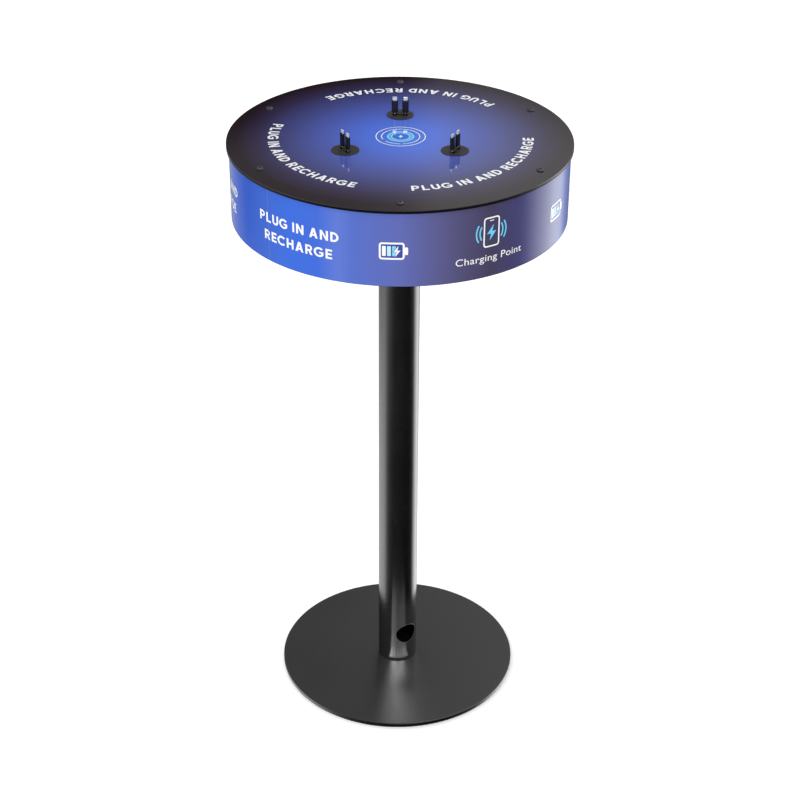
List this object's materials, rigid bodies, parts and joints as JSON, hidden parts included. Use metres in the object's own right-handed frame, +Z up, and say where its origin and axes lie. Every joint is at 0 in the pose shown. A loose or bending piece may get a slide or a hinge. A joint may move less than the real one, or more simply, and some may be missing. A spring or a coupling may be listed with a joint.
{
  "type": "phone charging kiosk",
  "caption": "Free-standing phone charging kiosk: a printed round drum head on a pole and disc base, with sprung charging plugs standing on its top.",
  "frame": {"origin": "centre of the base on the floor, under the pole's axis", "axes": "+Z up along the pole; -Y is the front, where the cable outlet is seen to the right; +X is the right side seen from the front"},
  "size_m": [0.6095, 0.6096, 1.1725],
  "materials": {
    "base": "fine-textured black powder coat",
    "pad": "matte",
    "zinc": "bright zinc",
    "steel": "plain steel",
    "pole": "satin black powder coat",
    "drum_metal": "satin black powder coat",
    "printed_film": "gloss printed film",
    "panel_board": "black composite board",
    "printed_sheet": "clear sheet printed on its back, high gloss",
    "screw_steel": "satin stainless steel",
    "case_plastic": "moulded",
    "ferrite": "pressed ferrite",
    "copper": "enamelled copper winding",
    "case_metal": "satin",
    "circuit_board": "solder mask",
    "brass": "plain brass",
    "lead_sheath": "soft sheath",
    "station_plastic": "fine moulded texture",
    "plug_plastic": "moulded",
    "plug_metal": "bright plated"
  },
  "bodies": {
    "kiosk": {"base_plate": "base", "base_pads": "pad", "foot_bolts": "zinc", "foot_plug": "steel", "pole_tube": "pole", "pole_flange": "pole", "flange_bolts": "zinc", "flange_nuts": "zinc", "drum_floor": "drum_metal", "drum_shell": "drum_metal", "graphic_wrap": "printed_film", "post_screws": "zinc", "top_board": "panel_board", "top_sheet": "printed_sheet", "top_screws": "screw_steel", "wireless_puck": "case_plastic", "ferrite_sheet": "ferrite", "wireless_coil": "copper", "charger_case": "case_metal", "charger_lid": "case_metal", "charger_board": "circuit_board", "board_pillars": "brass", "charger_screws": "zinc", "mains_gland": "case_plastic", "frame_post_1": "steel", "frame_post_2": "steel", "frame_post_3": "steel", "frame_post_4": "steel", "frame_post_5": "steel", "frame_post_6": "steel", "rear_station_plate": "station_plastic", "rear_station_nut": "case_plastic", "rear_plug_axle": "screw_steel", "left_station_plate": "station_plastic", "left_station_nut": "case_plastic", "left_plug_axle": "screw_steel", "right_station_plate": "station_plastic", "right_station_nut": "case_plastic", "right_plug_axle": "screw_steel", "left_lead": "lead_sheath", "left_lead_plug": "case_plastic", "right_lead": "lead_sheath", "right_lead_plug": "case_plastic", "rear_lead": "lead_sheath", "rear_lead_plug": "case_plastic", "wireless_lead": "lead_sheath", "wireless_lead_plug": "case_plastic"},
    "rear_blade_plug": {"rear_blade_plug_body": "plug_plastic", "rear_blade_plug_tip": "plug_metal"},
    "rear_oval_plug": {"rear_oval_plug_body": "plug_plastic", "rear_oval_plug_tip": "plug_metal"},
    "left_blade_plug": {"left_blade_plug_body": "plug_plastic", "left_blade_plug_tip": "plug_metal"},
    "left_oval_plug": {"left_oval_plug_body": "plug_plastic", "left_oval_plug_tip": "plug_metal"},
    "right_blade_plug": {"right_blade_plug_body": "plug_plastic", "right_blade_plug_tip": "plug_metal"},
    "right_oval_plug": {"right_oval_plug_body": "plug_plastic", "right_oval_plug_tip": "plug_metal"}
  },
  "joints": [
    {"name": "rear_blade_plug_tilt", "type": "hinge", "parent": "kiosk", "child": "rear_blade_plug", "pos_m": [0.0096, 0.1095, 1.141], "axis": [-1, 0, 0], "range_deg": [-25, 25], "stiffness_Nm_per_rad": 0.06},
    {"name": "rear_oval_plug_tilt", "type": "hinge", "parent": "kiosk", "child": "rear_oval_plug", "pos_m": [-0.0096, 0.1095, 1.141], "axis": [-1, 0, 0], "range_deg": [-25, 25], "stiffness_Nm_per_rad": 0.06},
    {"name": "left_blade_plug_tilt", "type": "hinge", "parent": "kiosk", "child": "left_blade_plug", "pos_m": [-0.09963, -0.04644, 1.141], "axis": [0.5, -0.866, 0], "range_deg": [-25, 25], "stiffness_Nm_per_rad": 0.06},
    {"name": "left_oval_plug_tilt", "type": "hinge", "parent": "kiosk", "child": "left_oval_plug", "pos_m": [-0.09003, -0.06306, 1.141], "axis": [0.5, -0.866, 0], "range_deg": [-25, 25], "stiffness_Nm_per_rad": 0.06},
    {"name": "right_blade_plug_tilt", "type": "hinge", "parent": "kiosk", "child": "right_blade_plug", "pos_m": [0.09003, -0.06306, 1.141], "axis": [0.5, 0.866, 0], "range_deg": [-25, 25], "stiffness_Nm_per_rad": 0.06},
    {"name": "right_oval_plug_tilt", "type": "hinge", "parent": "kiosk", "child": "right_oval_plug", "pos_m": [0.09963, -0.04644, 1.141], "axis": [0.5, 0.866, 0], "range_deg": [-25, 25], "stiffness_Nm_per_rad": 0.06}
  ]
}
